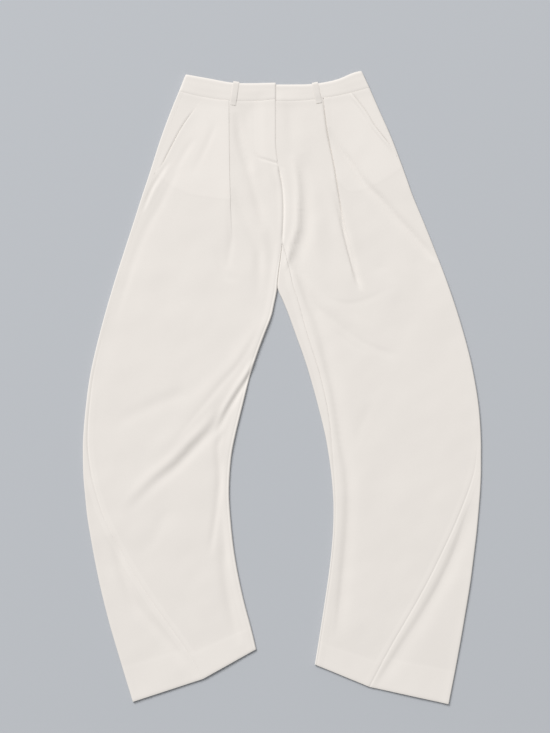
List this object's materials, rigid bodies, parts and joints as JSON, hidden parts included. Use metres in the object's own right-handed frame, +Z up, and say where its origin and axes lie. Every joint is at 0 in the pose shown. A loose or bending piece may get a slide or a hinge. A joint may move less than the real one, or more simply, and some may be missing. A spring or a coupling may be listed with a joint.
{
  "type": "barrel leg trousers",
  "caption": "Ivory barrel leg trousers laid flat, with a pressed pleat in each front, slant pockets, belt loops and outseams that twist to the front at the hems.",
  "frame": {"origin": "middle of the laid garment's outline, on the surface that it lies on", "axes": "+Y from the hems towards the waist, +Z up from the surface, towards the garment's front; +X towards the wearer's left"},
  "size_m": [0.6768, 1.0748, 0.0088],
  "materials": {
    "suiting": "smooth matt crepe suiting, ivory"
  },
  "bodies": {
    "root": {"front_right": "suiting", "front_left": "suiting", "back_right": "suiting", "back_left": "suiting", "pocket_bag_right": "suiting", "pocket_bag_left": "suiting", "belt_loop_right": "suiting", "belt_loop_left": "suiting", "waistband": "suiting"}
  },
  "joints": []
}
